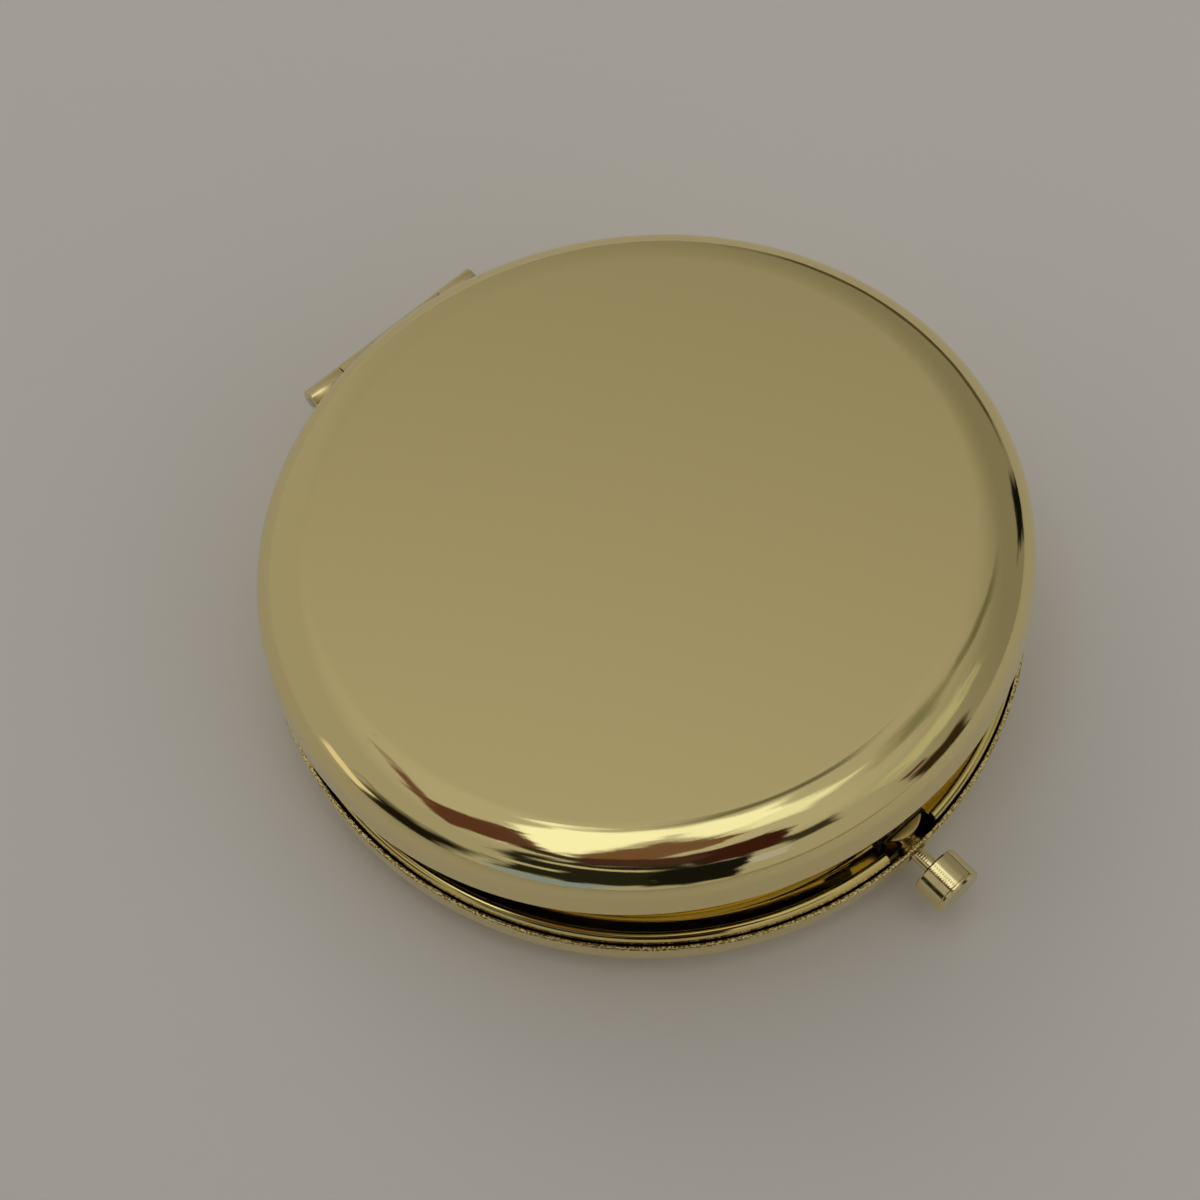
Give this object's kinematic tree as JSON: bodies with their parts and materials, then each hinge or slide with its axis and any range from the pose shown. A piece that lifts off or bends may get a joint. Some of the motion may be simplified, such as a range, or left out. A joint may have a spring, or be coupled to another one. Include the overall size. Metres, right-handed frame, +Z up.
{
  "type": "compact mirror",
  "caption": "Round pocket compact of polished gold-plated metal with a hinged lid, a mirror in each half and a sprung push-knob latch; lid ajar.",
  "frame": {"origin": "middle of the flat underside of the base", "axes": "+Z up through the lid, +Y towards the hinge, -Y towards the push-knob, +X along the hinge pin"},
  "size_m": [0.07, 0.0771, 0.0211],
  "materials": {
    "shell_plating": "pale gold plating, mirror polished",
    "tray_plating": "gold plating, bright",
    "hinge_plating": "gold plating, satin",
    "knob_plating": "gold plating, turned and polished",
    "latch_brass": "bare brass, pressed",
    "mirror_glass": "silvered glass",
    "foam_pad": "white adhesive foam",
    "spring_steel": "bright drawn steel"
  },
  "bodies": {
    "base": {"base_shell": "shell_plating", "base_tray": "tray_plating", "base_mirror_pad": "foam_pad", "base_mirror": "mirror_glass", "hinge_base_leaf": "hinge_plating", "hinge_pin": "spring_steel", "spring_bracket": "spring_steel", "return_spring": "spring_steel"},
    "lid": {"lid_shell": "shell_plating", "lid_tray": "tray_plating", "lid_mirror_pad": "foam_pad", "lid_mirror": "mirror_glass", "hinge_lid_leaf": "hinge_plating", "lid_catch": "latch_brass"},
    "plunger": {"push_knob": "knob_plating", "plunger_stem": "knob_plating", "stop_washer": "latch_brass", "stem_clip": "latch_brass", "latch_slide": "latch_brass"}
  },
  "joints": [
    {"name": "lid_hinge", "type": "hinge", "parent": "base", "child": "lid", "pos_m": [0, 0.03571, 0.00613], "axis": [-1, 0, 0], "range_deg": [-7.8, 157.2]},
    {"name": "plunger_press", "type": "slide", "parent": "base", "child": "plunger", "axis": [0, 1, 0], "range_m": [0, 0.0013], "stiffness_N_per_m": 250, "springref_m": -0.001, "deforming": ["return_spring"]}
  ]
}
